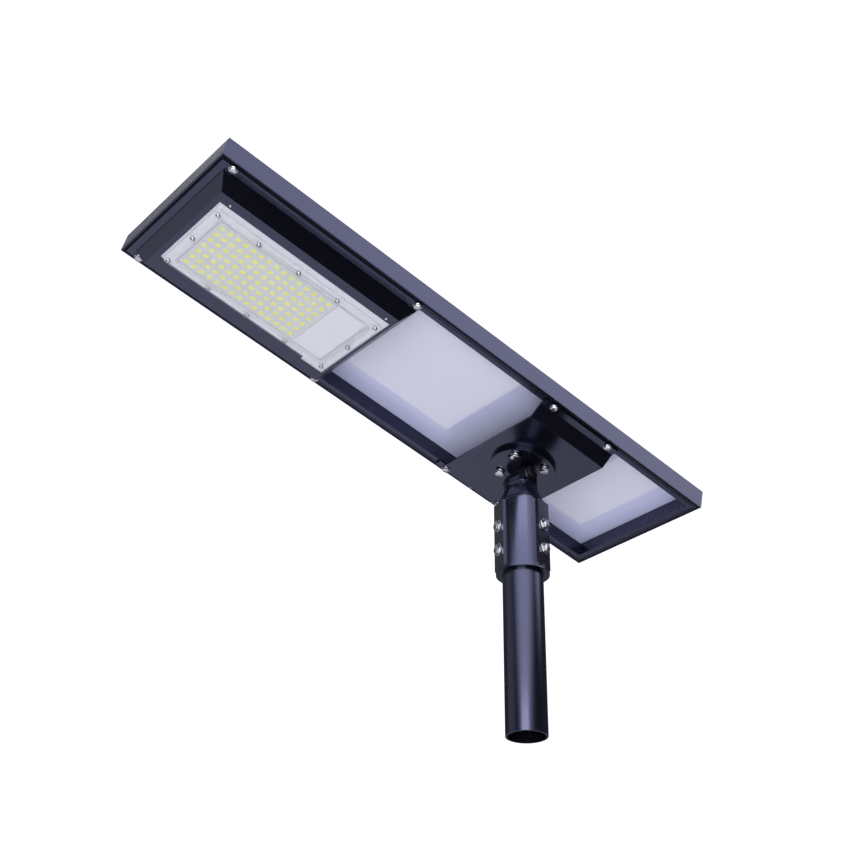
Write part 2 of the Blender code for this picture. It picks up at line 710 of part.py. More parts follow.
def power_pack(head):
    x0, y0, x1, y1, top = battery_place()
    finish = material("battery_pack", (0.03, 0.16, 0.36), 0.4, 0.0)
    rounded_box("battery_pack", x0, y0, x1, y1, INNER_FLOOR, top, CASE_CORNER, finish, head)
    battery_strap(head, (x0 + x1) / 2, y0, y1, top)

    x0, y0, x1, y1, top = controller_place()
    finish = material("charge_controller", (0.05, 0.05, 0.055), 0.5, 0.2)
    rounded_box("charge_controller", x0, y0, x1, y1, INNER_FLOOR, top, CONTROLLER_CORNER, finish, head)

    x0, y0, x1, y1, bottom = junction_place()
    finish = material("junction_box", (0.03, 0.03, 0.03), 0.6, 0.0)
    rounded_box("junction_box", x0, y0, x1, y1, bottom, LEDGE, CASE_CORNER, finish, head)


def battery_strap(head, middle, y0, y1, top):
    """A bent strip over the battery, with a foot on the heat plate each side."""
    inner0, inner1 = y0 - GAP, y1 + GAP
    outer0, outer1 = inner0 - STRAP_SHEET, inner1 + STRAP_SHEET
    toe0, toe1 = outer0 - STRAP_FOOT, outer1 + STRAP_FOOT
    foot = INNER_FLOOR + STRAP_SHEET
    roof = top + GAP
    profile = [
        (toe0, INNER_FLOOR), (inner0, INNER_FLOOR), (inner0, roof), (inner1, roof),
        (inner1, INNER_FLOOR), (toe1, INNER_FLOOR), (toe1, foot), (outer1, foot),
        (outer1, roof + STRAP_SHEET), (outer0, roof + STRAP_SHEET), (outer0, foot), (toe0, foot),
    ]
    mesh = outline_mesh("battery_strap", [profile], -STRAP_WIDTH / 2, STRAP_WIDTH / 2)
    across = Matrix(((0, 0, 1, middle), (1, 0, 0, 0), (0, 1, 0, 0), (0, 0, 0, 1)))
    mesh.transform(across)
    place("battery_strap", mesh, material("battery_strap", (0.6, 0.6, 0.6), 0.4, 1.0), head)


def smooth_route(points, per_span=5):
    """Points on a smooth curve through the given ones, with its first and last spans straight."""
    route = [Vector(point) for point in points]
    smooth = []
    for before, start, end, after in zip(route, route[1:], route[2:], route[3:]):
        for step in range(per_span):
            t = step / per_span
            pull = (2 * start + (end - before) * t
                    + (2 * before - 5 * start + 4 * end - after) * t ** 2
                    + (3 * start - before - 3 * end + after) * t ** 3)
            smooth.append(pull / 2)
    return [route[0]] + smooth + route[-2:]


def lead(name, points, colour, head):
    curve = bpy.data.curves.new(name, "CURVE")
    curve.dimensions = "3D"
    curve.bevel_depth = LEAD_RADIUS
    curve.bevel_resolution = 2
    curve.use_fill_caps = True
    route = smooth_route(points)
    spline = curve.splines.new("POLY")
    spline.points.add(len(route) - 1)
    for point, spot in zip(spline.points, route):
        point.co = (*spot, 1)
    mesh = mesh_from(name, curve)
    place(name, mesh, material(name, colour, 0.5, 0.0), head)


def leads(head):
    """Three short leads, each from one housing's wall to the next one's."""
    battery = battery_place()
    controller = controller_place()
    junction = junction_place()
    run = LEAD_RUN
    port_x = controller[2] + GAP
    port_z = (INNER_FLOOR + controller[4]) / 2
    in_y = controller[1] + CONTROLLER_SIZE[1] / 4
    mid_y = controller[1] + CONTROLLER_SIZE[1] / 2
    out_y = controller[1] + 3 * CONTROLLER_SIZE[1] / 4
    box_x = junction[0] - GAP
    box_y = (junction[1] + junction[3]) / 2
    box_z = (junction[4] + LEDGE) / 2
    lead("panel_lead", [
        (box_x, box_y, box_z), (box_x - run / 2, box_y, box_z),
        (port_x + run / 2, in_y, port_z), (port_x, in_y, port_z)], (0.02, 0.02, 0.02), head)
    hole_x, hole_y = lead_hole()
    lead("lamp_lead", [
        (port_x, mid_y, port_z), (port_x + run, mid_y, port_z - LEAD_RADIUS),
        (hole_x - run / 2, hole_y, PLATE_TOP + run / 2), (hole_x, hole_y, PLATE_TOP + run / 5),
        (hole_x, hole_y, PLATE_BOTTOM + GAP)], (0.5, 0.5, 0.5), head)
    end_x = battery[2] + GAP
    end_y = (battery[1] + battery[3]) / 2
    end_z = (INNER_FLOOR + battery[4]) / 2
    lead("battery_lead", [
        (end_x, end_y, end_z), (end_x + run / 2, end_y, end_z),
        (end_x + run, (end_y + battery[1]) / 2, end_z), (end_x + run / 2, battery[1] - run / 3, end_z),
        (end_x - run / 2, out_y, end_z), (port_x + run / 2, out_y, port_z),
        (port_x, out_y, port_z)], (0.45, 0.03, 0.03), head)


# ---------------------------------------------------------------- bracket
def bracket_bolt_spots():
    along = (-BRACKET_BOLT_SPACING / 2, BRACKET_BOLT_SPACING / 2)
    return [(PANEL_SETBACK + x, side * SIDE_BOLT_Y) for x in along for side in (-1, 1)]


def flange_bolt_turns():
    return [FLANGE_BOLT_START + 2 * math.pi * step / FLANGE_BOLTS for step in range(FLANGE_BOLTS)]


def mounting_bracket(head):
    """A hat section: plate, two leaning walls and two flanges under the long rails."""
    name = "mounting_bracket"
    wall_y = TRAY_WIDTH / 2
    edge_y = wall_y + TRAY_FLANGE
    plate_y = wall_y - BRACKET_DRAFT
    run = math.hypot(BRACKET_DRAFT, BRACKET_DEPTH - BRACKET_SHEET)
    shift = BRACKET_SHEET * (run - BRACKET_DRAFT) / (BRACKET_DEPTH - BRACKET_SHEET)
    top = -GAP
    outer = [(-edge_y, top - BRACKET_SHEET), (-wall_y, top - BRACKET_SHEET)]
    outer += [(-plate_y, -BRACKET_DEPTH), (plate_y, -BRACKET_DEPTH)]
    outer += [(wall_y, top - BRACKET_SHEET), (edge_y, top - BRACKET_SHEET)]
    inner = [(edge_y, top), (wall_y - shift, top), (plate_y - shift, BRACKET_SHEET - BRACKET_DEPTH)]
    inner += [(shift - plate_y, BRACKET_SHEET - BRACKET_DEPTH), (shift - wall_y, top), (-edge_y, top)]
    half = BRACKET_LENGTH / 2
    mesh = outline_mesh(name, [outer + inner], -half, half)
    across = Matrix(((0, 0, 1, PANEL_SETBACK), (1, 0, 0, 0), (0, 1, 0, 0), (0, 0, 0, 1)))
    mesh.transform(across)
    bracket = place(name, mesh, black_coat(name), head)
    radius = M6[2] + HOLE_PLAY
    deep = 2 * BRACKET_SHEET
    holes = rod_mesh("bracket_holes", radius, -deep, BRACKET_SHEET, spots=bracket_bolt_spots())
    shape_with(bracket, cutter("bracket_holes", holes, head), "DIFFERENCE")
    circle_spots = [polar(BOLT_CIRCLE_RADIUS, angle) for angle in flange_bolt_turns()]
    spots = [(PANEL_SETBACK + x, y) for x, y in circle_spots]
    low = -BRACKET_DEPTH - BRACKET_SHEET
    holes = rod_mesh("plate_holes", M8[2] + HOLE_PLAY, low, low + 3 * BRACKET_SHEET, spots=spots)
    shape_with(bracket, cutter("plate_holes", holes, head), "DIFFERENCE")


def side_bolts(head, family, spots, sheet, mesh):
    for index, (x, y) in enumerate(spots):
        name = "%s_%d" % (family, index + 1)
        place(name, mesh.copy(), bright_steel(name), head, (x, y, -sheet - 2 * GAP))


def rail_holes():
    """Bolt holes through the lip of both long rails, into their hollow."""
    spots = tray_bolt_spots() + bracket_bolt_spots()
    for side, rail_name in ((-1, "frame_rail_near"), (1, "frame_rail_far")):
        own = [spot for spot in spots if spot[1] * side > 0]
        local = [(x * side, y * side) for x, y in own]
        rail = bpy.data.objects[rail_name]
        depth = channel_heights()[0] + RAIL_WALL
        name = rail_name + "_holes"
        holes = rod_mesh(name, M6[2] + HOLE_PLAY, -RAIL_WALL, depth, spots=local)
        turn_round = (0, 0, 0) if side > 0 else (0, 0, math.pi)
        tool = cutter(name, holes, rail.parent, rotation=turn_round)
        shape_with(rail, tool, "DIFFERENCE")


# ---------------------------------------------------------------- flange, knuckle and sleeve
def knuckle_flange(tilt_axis):
    """The slotted disc with the tongue that the pivot bolt passes through."""
    name = "knuckle_flange"
    low = PIVOT_DROP
    disc_loops = [circle(FLANGE_RADIUS, facets=ROUND)]
    for angle in flange_bolt_turns():
        slot = arc_slot(BOLT_CIRCLE_RADIUS, M8[2] + HOLE_PLAY, angle, SLOT_SWEEP)
        disc_loops.append(slot)
    disc = outline_mesh(name, disc_loops, low, low + FLANGE_THICKNESS)
    half = TONGUE_WIDTH / 2
    eye = circle(KNUCKLE_RADIUS, facets=ROUND // 2)
    tongue_top = low + FLANGE_THICKNESS / 2
    tongue = tongue_outline(eye, tongue_top)
    bore = circle(M10[2] + HOLE_PLAY)
    blade = outline_mesh("tongue", [tongue, bore], -half, half)
    blade.transform(Matrix.Rotation(math.pi / 2, 4, "X"))
    mesh = fused_mesh(name, disc, [(blade, "UNION")])
    place(name, mesh, black_coat(name), tilt_axis)


def tongue_outline(eye, top):
    """The lower half of an eye, carried straight up to a root."""
    radius = max(x for x, _ in eye)
    lower = [point for point in eye if point[1] <= 0]
    lower.sort(key=lambda point: point[0])
    return [(-radius, top)] + lower + [(radius, top)]


def sleeve_profile():
    bore = POLE_RADIUS + SLEEVE_PLAY
    bore_top = POLE_TOP + GAP
    core_top = NECK_TOP - NECK_ROOF
    return [
        (0, NECK_TOP), (NECK_RADIUS, NECK_TOP), (NECK_RADIUS, NECK_BASE),
        (SLEEVE_RADIUS, SLEEVE_TOP), (SLEEVE_RADIUS, SLEEVE_BASE + BASE_RING_HEIGHT),
        (BASE_RING_RADIUS, SLEEVE_BASE + BASE_RING_HEIGHT), (BASE_RING_RADIUS, SLEEVE_BASE),
        (bore, SLEEVE_BASE), (bore, bore_top), (NECK_CORE, bore_top + bore - NECK_CORE),
        (NECK_CORE, core_top), (0, core_top),
    ]


def pad_turns():
    return [PAD_START + 2 * math.pi * step / PAD_COUNT for step in range(PAD_COUNT)]


def pad_mesh():
    """One screw pad, a block on the sleeve's side from above the base ring to its shoulder."""
    low = SLEEVE_BASE + BASE_RING_HEIGHT / 2
    half = PAD_WIDTH / 2
    inner = POLE_RADIUS + SLEEVE_PLAY + PAD_SUNK
    return box_mesh("screw_pad", inner, PAD_REACH, -half, half, low, SLEEVE_TOP)


def ear_mesh(side):
    """One ear of the fork, its foot sunk in the neck."""
    eye = circle(KNUCKLE_RADIUS, facets=ROUND // 2)
    outline = [(x, -z) for x, z in tongue_outline(eye, PIVOT_Z - NECK_TOP + NECK_ROOF / 2)]
    bore = circle(M10[2] + HOLE_PLAY)
    low, high = sorted((-side * EAR_INNER, -side * EAR_OUTER))
    mesh = outline_mesh("ear", [outline, bore], low, high)
    mesh.transform(Matrix.Rotation(math.pi / 2, 4, "X"))
    mesh.transform(Matrix.Translation((0, 0, PIVOT_Z)))
    return mesh


def sleeve(axis):
    name = "pole_sleeve"
    body = spun_mesh(name, sleeve_profile(), ROUND)
    additions = []
    for angle in pad_turns():
        pad = pad_mesh()
        pad.transform(Matrix.Rotation(angle, 4, "Z"))
        additions.append((pad, "UNION"))
    for side in (-1, 1):
        additions.append((ear_mesh(side), "UNION"))
    casting = place(name, fused_mesh(name, body, additions), black_coat(name), axis)
    holes = bmesh.new()
    for angle, height in screw_places():
        bore = radial(angle, height, (PAD_REACH + POLE_RADIUS) / 2)
        bmesh.ops.create_cone(
            holes, cap_ends=True, segments=SMALL_ROUND, radius1=M8[2] + HOLE_PLAY,
            radius2=M8[2] + HOLE_PLAY, depth=PAD_REACH - POLE_RADIUS + 4 * PAD_SUNK, matrix=bore)
    tool = cutter("pad_bores", finished("pad_bores", holes), axis)
    shape_with(casting, tool, "DIFFERENCE")


def screw_places():
    heights = [SLEEVE_BASE + PAD_SCREW_LOW + PAD_SCREW_SPACING * row for row in range(2)]
    return [(angle, height) for angle in pad_turns() for height in heights]


def radial(angle, height, distance):
    """A frame on a pad's axis with its Z pointing in at the pole."""
    spot = Matrix.Translation((*polar(distance, angle), height))
    return spot @ Matrix.Rotation(angle, 4, "Z") @ Matrix.Rotation(-math.pi / 2, 4, "Y")


def set_screws(axis):
    length = PAD_REACH - POLE_RADIUS
    mesh = bolt_mesh("set_screw", M8, length)
    for index, (angle, height) in enumerate(screw_places()):
        name = "set_screw_%d" % (index + 1)
        screw = place(name, mesh.copy(), bright_steel(name), axis)
        screw.matrix_local = radial(angle, height, PAD_REACH + GAP)


def pivot_hardware(pivot):
    """The pivot bolt across the fork, head on the near side, and its nut."""
    across_flats, _, shank = M10
    length = 2 * (EAR_OUTER + GAP) + NUT_HEIGHT + GAP
    mesh = bolt_mesh("pivot_bolt", M10, length)
    facing = (-math.pi / 2, 0, 0)
    place("pivot_bolt", mesh, bright_steel("pivot_bolt"), pivot, (0, -EAR_OUTER - GAP, 0), facing)
    corner_radius = across_flats / math.sqrt(3)
    loops = [circle(corner_radius, facets=6), circle(shank + HOLE_PLAY)]
    nut = outline_mesh("pivot_nut", loops, 0, NUT_HEIGHT)
    place("pivot_nut", nut, bright_steel("pivot_nut"), pivot, (0, EAR_OUTER + GAP, 0), facing)


def pole():
    mesh = outline_mesh(
        "pole_tube", [circle(POLE_RADIUS, facets=ROUND), circle(POLE_RADIUS - POLE_WALL, facets=ROUND)],
        0, POLE_TOP)
    place("pole_tube", mesh, black_coat("pole_tube"))


# ---------------------------------------------------------------- the lamp
def flange_bolts(head):
    grip = FLANGE_THICKNESS + BRACKET_SHEET + BOLT_PROUD
    mesh = bolt_mesh("flange_bolt", M8, grip)
    for index, angle in enumerate(flange_bolt_turns()):
        name = "flange_bolt_%d" % (index + 1)
        x, y = polar(BOLT_CIRCLE_RADIUS, angle)
        place(name, mesh.copy(), bright_steel(name), head, (PANEL_SETBACK + x, y, FLANGE_FACE - GAP))


def build():
    clear_scene()
    swivel_axis = empty("swivel_axis")
    tilt_axis = empty("tilt_axis", swivel_axis, (0, 0, PIVOT_Z), (0, TILT, 0))
    turn_axis = empty("turn_axis", tilt_axis)
    head = empty("head_frame", turn_axis, (-PANEL_SETBACK, 0, PIVOT_BELOW_FRAME))
    pivot = empty("pivot_frame", swivel_axis, (0, 0, PIVOT_Z))
    bpy.context.view_layer.update()

    pole()
    sleeve(swivel_axis)
    set_screws(swivel_axis)
    pivot_hardware(pivot)
    knuckle_flange(tilt_axis)

    frame(head)
    rail_holes()
    laminate(head)
    lamp_tray(head)
    led_engine(head)
    power_pack(head)
    leads(head)
    mounting_bracket(head)
    flange_bolts(head)
    grip = 2 * GAP + channel_heights()[0] + BOLT_PROUD
    tray_bolt = bolt_mesh("tray_bolt", M6, grip + TRAY_SHEET)
    side_bolts(head, "tray_bolt", tray_bolt_spots(), TRAY_SHEET, tray_bolt)
    bracket_bolt = bolt_mesh("bracket_bolt", M6, grip + BRACKET_SHEET)
    side_bolts(head, "bracket_bolt", bracket_bolt_spots(), BRACKET_SHEET, bracket_bolt)


build()
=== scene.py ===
import json
import math

import bmesh
import bpy
from mathutils import Matrix, Vector


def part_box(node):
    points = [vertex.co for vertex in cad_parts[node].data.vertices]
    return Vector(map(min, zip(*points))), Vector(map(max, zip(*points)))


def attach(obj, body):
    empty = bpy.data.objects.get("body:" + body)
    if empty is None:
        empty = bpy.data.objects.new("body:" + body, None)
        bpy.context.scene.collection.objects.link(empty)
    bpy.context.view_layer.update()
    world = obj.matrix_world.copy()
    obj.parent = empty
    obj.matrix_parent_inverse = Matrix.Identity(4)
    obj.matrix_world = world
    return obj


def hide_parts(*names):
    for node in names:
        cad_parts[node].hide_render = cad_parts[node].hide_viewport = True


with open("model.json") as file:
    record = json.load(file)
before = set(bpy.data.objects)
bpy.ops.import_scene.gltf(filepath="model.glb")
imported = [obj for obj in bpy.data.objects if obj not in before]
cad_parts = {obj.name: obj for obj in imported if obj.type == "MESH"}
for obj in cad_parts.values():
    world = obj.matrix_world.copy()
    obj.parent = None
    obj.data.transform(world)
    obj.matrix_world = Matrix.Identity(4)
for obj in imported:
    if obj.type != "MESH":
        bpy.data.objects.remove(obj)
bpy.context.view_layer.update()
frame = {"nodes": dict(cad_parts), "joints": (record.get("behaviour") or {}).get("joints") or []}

nodes = frame["nodes"]
turnJoint = next(joint for joint in frame["joints"] if joint["name"] == "head_turn")
tiltPivot = Vector(turnJoint["pos_m"])
tiltAngle = math.atan2(turnJoint["axis"][0], turnJoint["axis"][2])
# the head's own axes: X along the module, Y across it, Z out through the glass
headAxes = Matrix.Translation(tiltPivot) @ Matrix.Rotation(tiltAngle, 4, "Y")
upright = Matrix.Identity(4)


# reading the frame

def spotsIn(node, axes):
    back = axes.inverted()
    return [back @ vertex.co for vertex in nodes[node].data.vertices]


def boxIn(node, axes=headAxes):
    spots = spotsIn(node, axes)
    low = Vector([min(spot[i] for spot in spots) for i in range(3)])
    high = Vector([max(spot[i] for spot in spots) for i in range(3)])
    return low, high


# shader maths

class Wire:
    # a shader socket that takes Python's own signs
    def __init__(self, tree, socket=None):
        self.tree = tree
        self.socket = socket

    def make(self, kind, settings=None, inputs=None, output=0):
        node = self.tree.nodes.new(kind)
        for name, value in (settings or {}).items():
            setattr(node, name, value)
        for name, value in (inputs or {}).items():
            if isinstance(value, Wire):
                self.tree.links.new(value.socket, node.inputs[name])
            else:
                node.inputs[name].default_value = value
        return Wire(self.tree, node.outputs[output] if node.outputs else None)

    def maths(self, operation, first, second=0.0):
        return self.make("ShaderNodeMath", {"operation": operation}, {0: first, 1: second})

    def __add__(self, other):
        return self.maths("ADD", self, other)

    def __sub__(self, other):
        return self.maths("SUBTRACT", self, other)

    def __rsub__(self, other):
        return self.maths("SUBTRACT", other, self)

    def __mul__(self, other):
        return self.maths("MULTIPLY", self, other)

    __radd__ = __add__
    __rmul__ = __mul__

    def mix(self, dark, light):
        # a colour between two others, by this value
        return self.make(
            "ShaderNodeMix", {"data_type": "RGBA"},
            {0: self, 6: dark, 7: light}, output=2)


def placeWire(tree, turn=0.0, stretch=(1, 1, 1)):
    base = Wire(tree)
    where = base.make("ShaderNodeTexCoord", output=3)
    return base.make(
        "ShaderNodeMapping", {"vector_type": "POINT"},
        {"Vector": where, "Rotation": (0, turn, 0), "Scale": stretch})


def clouds(place, scale, detail=3.0):
    return place.make(
        "ShaderNodeTexNoise", inputs={"Vector": place, "Scale": scale, "Detail": detail})


# shares of the two grains in a finish's tone, and the fine grain's detail and bump
toneMix = dict(broad=0.7, grain=0.3, grainDetail=2.0, bumpStrength=0.6)

# each finish: two tones, roughness range, broad and fine grain (per metre), bump depth in metres
finishes = {
    "railCoat": dict(
        dark=(0.0015, 0.0015, 0.0032), light=(0.0045, 0.0045, 0.0085), rough=(0.22, 0.32),
        broad=9, grain=260, bump=0.000002, stretch=(0.05, 1, 1), specular=0.92, tint=(0.54, 0.58, 1.0)),
    "sheetCoat": dict(
        dark=(0.0015, 0.0015, 0.0030), light=(0.0040, 0.0040, 0.0075), rough=(0.14, 0.24),
        broad=11, grain=900, bump=0.000006, specular=0.92, tint=(0.58, 0.61, 1.0)),
    "castCoat": dict(
        dark=(0.0012, 0.0012, 0.0024), light=(0.0035, 0.0035, 0.0065), rough=(0.15, 0.24),
        broad=22, grain=620, bump=0.00001, specular=0.95, tint=(0.60, 0.64, 1.0)),
    "poleCoat": dict(
        dark=(0.0015, 0.0015, 0.0030), light=(0.0038, 0.0038, 0.0070), rough=(0.17, 0.26),
        broad=14, grain=1100, bump=0.000005, specular=0.92, tint=(0.62, 0.65, 1.0)),
    "brightSteel": dict(
        dark=(0.34, 0.34, 0.36), light=(0.66, 0.66, 0.68), rough=(0.12, 0.26),
        broad=160, grain=2600, bump=0.00002, metal=1.0),
    "darkSteel": dict(
        dark=(0.05, 0.05, 0.06), light=(0.12, 0.12, 0.13), rough=(0.22, 0.36),
        broad=160, grain=2600, bump=0.00002, metal=1.0),
    "castKey": dict(
        dark=(0.42, 0.43, 0.45), light=(0.62, 0.63, 0.65), rough=(0.38, 0.55),
        broad=70, grain=900, bump=0.00005, metal=1.0),
    "backSheet": dict(
        dark=(0.58, 0.58, 0.70), light=(0.66, 0.66, 0.77), rough=(0.07, 0.13),
        broad=7, grain=500, bump=0.00001, specular=0.60),
    "heatPlate": dict(
        dark=(0.56, 0.56, 0.61), light=(0.74, 0.74, 0.79), rough=(0.30, 0.46),
        broad=30, grain=420, bump=0.00002, stretch=(0.06, 1, 1), metal=0.35),
    "boardWhite": dict(
        dark=(0.46, 0.48, 0.50), light=(0.60, 0.62, 0.63), rough=(0.35, 0.50),
        broad=60, grain=800, bump=0.00001),
    "driverGrey": dict(
        dark=(0.58, 0.58, 0.61), light=(0.72, 0.72, 0.75), rough=(0.50, 0.66),
        broad=40, grain=700, bump=0.00003),
    "gasketRubber": dict(
        dark=(0.56, 0.57, 0.60), light=(0.66, 0.67, 0.70), rough=(0.60, 0.78),
        broad=60, grain=1200, bump=0.00004),
    "lensClear": dict(
        dark=(0.86, 0.88, 0.92), light=(0.95, 0.96, 1.0), rough=(0.05, 0.12),
        broad=20, grain=160, bump=0.00001, alpha=0.10, specular=0.5),
    "lensRib": dict(
        dark=(0.62, 0.63, 0.68), light=(0.74, 0.75, 0.80), rough=(0.10, 0.18),
        broad=30, grain=300, bump=0.00001, alpha=0.40, specular=0.7),
    "frontGlass": dict(
        dark=(0.010, 0.018, 0.026), light=(0.020, 0.032, 0.044), rough=(0.05, 0.11),
        broad=4, grain=900, bump=0.000003, alpha=0.16, specular=0.6),
    "cellBlue": dict(
        dark=(0.006, 0.010, 0.034), light=(0.014, 0.024, 0.080), rough=(0.16, 0.28),
        broad=14, grain=700, bump=0.00001, specular=0.7),
    "cellFilm": dict(
        dark=(0.010, 0.010, 0.014), light=(0.018, 0.018, 0.024), rough=(0.40, 0.55),
        broad=20, grain=700, bump=0.00001),
    "busbar": dict(
        dark=(0.26, 0.27, 0.30), light=(0.44, 0.45, 0.49), rough=(0.30, 0.45),
        broad=90, grain=1500, bump=0.00001, metal=1.0),
    "chipWhite": dict(
        dark=(0.48, 0.60, 0.34), light=(0.66, 0.78, 0.48), rough=(0.40, 0.55),
        broad=200, grain=2000, bump=0.00001),
    "phosphor": dict(
        dark=(0.66, 0.60, 0.03), light=(0.90, 0.84, 0.09), rough=(0.30, 0.42),
        broad=70, grain=2400, bump=0.00002),
    "batteryWrap": dict(
        dark=(0.02, 0.12, 0.30), light=(0.04, 0.20, 0.44), rough=(0.28, 0.42),
        broad=40, grain=500, bump=0.00006),
    "darkCase": dict(
        dark=(0.035, 0.035, 0.040), light=(0.060, 0.060, 0.066), rough=(0.42, 0.58),
        broad=40, grain=1400, bump=0.00006),
    "leadBlack": dict(
        dark=(0.014, 0.014, 0.014), light=(0.030, 0.030, 0.030), rough=(0.45, 0.60),
        broad=90, grain=1200, bump=0.00003),
    "leadGrey": dict(
        dark=(0.40, 0.40, 0.40), light=(0.52, 0.52, 0.52), rough=(0.45, 0.60),
        broad=90, grain=1200, bump=0.00003),
    "leadRed": dict(
        dark=(0.36, 0.02, 0.02), light=(0.50, 0.04, 0.04), rough=(0.45, 0.60),
        broad=90, grain=1200, bump=0.00003),
    "shadowGap": dict(
        dark=(0.0008, 0.0008, 0.0012), light=(0.0020, 0.0020, 0.0030), rough=(0.55, 0.75),
        broad=30, grain=400, bump=0.00001, specular=0.10),
    "floorPale": dict(
        dark=(0.82, 0.82, 0.85), light=(0.88, 0.88, 0.91), rough=(0.75, 0.90),
        broad=1, grain=40, bump=0.0001),
}


def makeFinish(name, spec):
    made = bpy.data.materials.new(name)
    made.use_nodes = True
    tree = made.node_tree
    shader = tree.nodes["Principled BSDF"]
    place = placeWire(tree, -tiltAngle, spec.get("stretch", (1, 1, 1)))
    broad = clouds(place, spec["broad"])
    grain = clouds(place, spec["grain"], toneMix["grainDetail"])
    tone = broad * toneMix["broad"] + grain * toneMix["grain"]
    colour = tone.mix((*spec["dark"], 1), (*spec["light"], 1))
    low, high = spec["rough"]
    rough = low + tone * (high - low)
    bump = tone.make("ShaderNodeBump", inputs={
        "Strength": toneMix["bumpStrength"], "Distance": spec["bump"], "Height": grain})
    tree.links.new(colour.socket, shader.inputs["Base Color"])
    tree.links.new(rough.socket, shader.inputs["Roughness"])
    tree.links.new(bump.socket, shader.inputs["Normal"])
    shader.inputs["Metallic"].default_value = spec.get("metal", 0.0)
    shader.inputs["Specular IOR Level"].default_value = spec.get("specular", 0.5)
    shader.inputs["Specular Tint"].default_value = (*spec.get("tint", (1.0, 1.0, 1.0)), 1.0)
    shader.inputs["Alpha"].default_value = spec.get("alpha", 1.0)
    return made


materials = {name: makeFinish(name, spec) for name, spec in finishes.items()}


# painted reflection of the dark walls on the back sheet: outside two areas, as middle and half size in
# the head's own axes, the sheet is darker and bluer
sheetWallReflection = dict(
    spots=((-0.208, -0.010, 0.107, 0.087), (0.151, -0.010, 0.045, 0.090)), soft=0.0025,
    # border: the colour of the painted wall reflection, multiplied into the sheet outside the areas
    border=(0.74, 0.77, 0.90, 1.0))


def nearMiddle(spot, middle, half):
    # 1 around the middle and 0 past half, along one axis
    away = spot - middle
    soft = sheetWallReflection["soft"]
    return spot.make("ShaderNodeMapRange", inputs={
        "Value": away.maths("ABSOLUTE", away), "From Min": half + soft, "From Max": half - soft})


def paintSheetWallReflection():
    made = materials["backSheet"]
    tree = made.node_tree
    base = Wire(tree)
    turned = headAxes.to_3x3().inverted()
    where = base.make("ShaderNodeTexCoord", output=3)
    place = base.make(
        "ShaderNodeMapping", {"vector_type": "POINT"},
        {"Vector": where, "Rotation": turned.to_euler(), "Location": -(turned @ tiltPivot)})
    x = place.make("ShaderNodeSeparateXYZ", inputs={"Vector": place}, output=0)
    y = place.make("ShaderNodeSeparateXYZ", inputs={"Vector": place}, output=1)
    inside = 0.0
    for middleX, middleY, halfX, halfY in sheetWallReflection["spots"]:
        inside = inside + nearMiddle(x, middleX, halfX) * nearMiddle(y, middleY, halfY)
    socket = tree.nodes["Principled BSDF"].inputs["Base Color"]
    sheet = Wire(tree, socket.links[0].from_socket)
    # painted wall reflection: outside the areas the sheet's colour is multiplied by the border colour
    shaded = base.make(
        "ShaderNodeMix", {"data_type": "RGBA", "blend_type": "MULTIPLY"},
        {0: 1 - inside, 6: sheet, 7: sheetWallReflection["border"]}, output=2)
    tree.links.new(shaded.socket, socket)


paintSheetWallReflection()
print("finishes made:", len(materials))


# finished pieces

mergeGap = 0.000002  # points closer than this become one
boltMergeGap = 0.0000015
flatAngle = 0.6  # degrees; flatter edges of a copied mesh are dissolved


def addPiece(name, mesh, finish, body, replaced=(), bevel=0.0, segments=2, angle=32.0):
    mesh.materials.clear()
    mesh.materials.append(materials[finish])
    piece = bpy.data.objects.new(name, mesh)
    bpy.context.scene.collection.objects.link(piece)
    mesh.shade_smooth()
    if bevel:
        edge = piece.modifiers.new("edge", "BEVEL")
        edge.width = bevel
        edge.segments = segments
        edge.limit_method = "ANGLE"
        edge.angle_limit = math.radians(angle)
        edge.miter_outer = "MITER_ARC"
        even = piece.modifiers.new("even", "WEIGHTED_NORMAL")
        even.keep_sharp = True
    else:
        mesh.set_sharp_from_angle(angle=math.radians(angle))
    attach(piece, body)
    if replaced:
        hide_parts(*replaced)


def meshOf(name, bm, axes=upright, doubles=0.0):
    if doubles:
        bmesh.ops.remove_doubles(bm, verts=bm.verts, dist=doubles)
    bmesh.ops.recalc_face_normals(bm, faces=bm.faces)
    bmesh.ops.transform(bm, matrix=axes, verts=bm.verts)
    mesh = bpy.data.meshes.new(name)
    bm.to_mesh(mesh)
    bm.free()
    return mesh


def mergedCopy(node):
    # the CAD node's shape with its loose triangles merged into whole flat faces
    bm = bmesh.new()
    bm.from_mesh(nodes[node].data)
    bmesh.ops.remove_doubles(bm, verts=bm.verts, dist=mergeGap)
    bmesh.ops.dissolve_limit(
        bm, angle_limit=math.radians(flatAngle), verts=bm.verts, edges=bm.edges,
        use_dissolve_boundaries=False)
    mesh = bpy.data.meshes.new(node + "_fine")
    bm.to_mesh(mesh)
    bm.free()
    return mesh


def refine(node, finish, slotName, bevel, body="head", segments=2, angle=32.0):
    addPiece(
        node + "_fine", mergedCopy(node), finish, body, (node,), bevel, segments, angle)


def addBox(bm, low, high, bevel=0.0, segments=2):
    made = bmesh.ops.create_cube(bm, size=1.0)
    low, high = Vector(low), Vector(high)
    bmesh.ops.scale(bm, vec=high - low, verts=made["verts"])
    bmesh.ops.translate(bm, vec=(low + high) / 2, verts=made["verts"])
    if bevel:
        edges = list({edge for vertex in made["verts"] for edge in vertex.link_edges})
        bmesh.ops.bevel(
            bm, geom=edges, offset=bevel, segments=segments, profile=0.5,
            affect="EDGES", material=-1)


